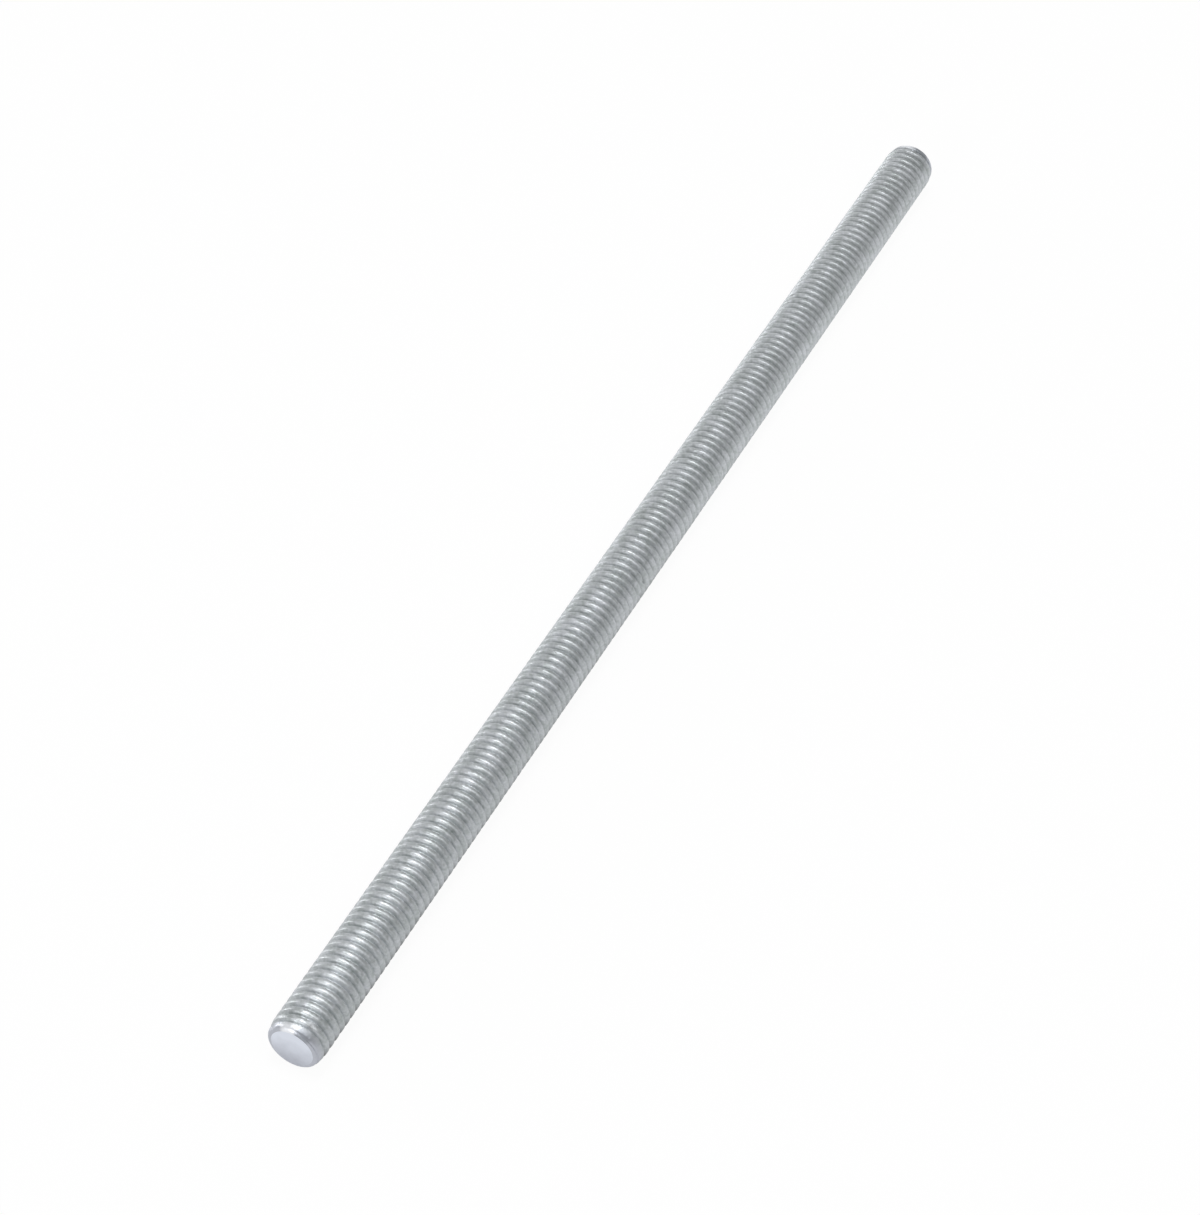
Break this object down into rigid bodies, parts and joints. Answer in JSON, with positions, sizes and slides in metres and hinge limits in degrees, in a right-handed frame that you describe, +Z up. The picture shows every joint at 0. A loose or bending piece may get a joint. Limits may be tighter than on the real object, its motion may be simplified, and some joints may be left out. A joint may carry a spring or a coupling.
{
  "type": "threaded rod",
  "caption": "Straight steel rod with a continuous right-hand screw thread from end to end and a short taper and a rounded rim at both flat cut ends.",
  "frame": {"origin": "middle of the rod's axis, half way between the two end faces", "axes": "+X along the rod's axis, +Z up, with the rod lying level"},
  "size_m": [0.153, 0.006, 0.006],
  "materials": {
    "zinc_plated_steel": "bright zinc plating"
  },
  "bodies": {
    "root": {"threaded_rod": "zinc_plated_steel"}
  },
  "joints": []
}
